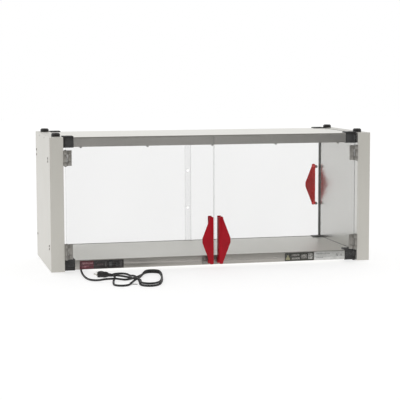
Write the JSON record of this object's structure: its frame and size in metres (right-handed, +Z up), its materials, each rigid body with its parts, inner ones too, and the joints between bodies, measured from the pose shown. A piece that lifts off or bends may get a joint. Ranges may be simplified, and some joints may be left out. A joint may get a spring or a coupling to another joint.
{
  "type": "food holding cabinet",
  "caption": "Countertop food holding cabinet with hollow end casings, two shelves, hinged clear front doors and sliding clear rear doors.",
  "frame": {"origin": "middle of the cabinet's footprint, on the surface that its feet stand on", "axes": "+X to the right seen from the front, +Y to the rear, +Z up"},
  "size_m": [1.33, 0.9092, 0.554],
  "materials": {
    "casing_steel": "satin",
    "shelf_steel": "brushed",
    "rail_aluminium": "satin",
    "frame_steel": "satin",
    "black_plastic": "matte",
    "black_rubber": "matte",
    "hardware_steel": "satin",
    "insulation": "matte",
    "heater_foil": "satin",
    "catch_plastic": "matte",
    "magnet": "satin",
    "control_plate": "satin",
    "badge": "satin",
    "warning_plate": "satin",
    "rating_plate": "satin",
    "cord_rubber": "matte",
    "nickel": "polished",
    "clear_sheet": "polished",
    "red_plastic": "satin",
    "clear_rubber": "satin",
    "rocker_plastic": "satin",
    "knob_plastic": "matte"
  },
  "bodies": {
    "cabinet": {"left_end_shell": "casing_steel", "right_end_shell": "casing_steel", "inner_panels": "casing_steel", "end_covers": "casing_steel", "end_frames": "frame_steel", "stacking_caps": "black_plastic", "rubber_feet": "black_rubber", "panel_screws": "hardware_steel", "lower_deck": "shelf_steel", "lower_skin": "shelf_steel", "lower_front_rail": "rail_aluminium", "lower_rear_rail": "rail_aluminium", "end_rails": "black_plastic", "lower_corner_blocks": "black_plastic", "shelf_insulation": "insulation", "rail_screws": "hardware_steel", "heater_mat": "heater_foil", "upper_deck": "shelf_steel", "upper_skin": "shelf_steel", "upper_front_rail": "rail_aluminium", "upper_rear_rail": "rail_aluminium", "upper_corner_blocks": "black_plastic", "rear_lower_track": "rail_aluminium", "rear_upper_track": "rail_aluminium", "jamb_strips": "black_rubber", "thermostat_body": "hardware_steel", "switch_body": "black_plastic", "terminal_block": "black_plastic", "catch_body": "catch_plastic", "catch_magnets": "magnet", "hinge_fixed_leaves": "hardware_steel", "hinge_pins": "hardware_steel", "control_plate": "control_plate", "name_badge": "badge", "warning_plate": "warning_plate", "rating_plate": "rating_plate", "cord_outlet_box": "frame_steel", "strain_relief": "black_rubber", "cord_lead": "cord_rubber", "cord_hank": "cord_rubber", "cord_tie": "black_plastic", "plug_body": "cord_rubber", "plug_blades": "nickel"},
    "front_left_door": {"left_door_panel": "clear_sheet", "left_door_handle": "red_plastic", "left_door_leaves": "hardware_steel", "left_door_screws": "hardware_steel", "left_strike": "hardware_steel"},
    "front_right_door": {"right_door_panel": "clear_sheet", "right_door_handle": "red_plastic", "right_door_leaves": "hardware_steel", "right_door_screws": "hardware_steel", "right_strike": "hardware_steel"},
    "rear_right_door": {"rear_right_panel": "clear_sheet", "rear_handle": "red_plastic", "rear_handle_screws": "hardware_steel"},
    "rear_left_door": {"rear_left_panel": "clear_sheet", "rear_left_bumpers": "clear_rubber"},
    "rocker": {"rocker": "rocker_plastic"},
    "thermostat_knob": {"knob": "knob_plastic"}
  },
  "joints": [
    {"name": "front_left_hinge", "type": "hinge", "parent": "cabinet", "child": "front_left_door", "pos_m": [-0.602, -0.254, 0.2725], "axis": [0, 0, -1], "range_deg": [0, 170]},
    {"name": "front_right_hinge", "type": "hinge", "parent": "cabinet", "child": "front_right_door", "pos_m": [0.602, -0.254, 0.2725], "axis": [0, 0, 1], "range_deg": [0, 170]},
    {"name": "rear_right_slide", "type": "slide", "parent": "cabinet", "child": "rear_right_door", "axis": [-1, 0, 0], "range_m": [0, 0.575]},
    {"name": "rear_left_slide", "type": "slide", "parent": "cabinet", "child": "rear_left_door", "axis": [1, 0, 0], "range_m": [0, 0.575]},
    {"name": "rocker_tip", "type": "hinge", "parent": "cabinet", "child": "rocker", "pos_m": [-0.423, -0.2255, 0.0295], "axis": [-1, 0, 0], "range_deg": [0, 12]},
    {"name": "knob_turn", "type": "hinge", "parent": "cabinet", "child": "thermostat_knob", "pos_m": [-0.398, -0.23, 0.0295], "axis": [0, 1, 0], "range_deg": [0, 270]}
  ]
}
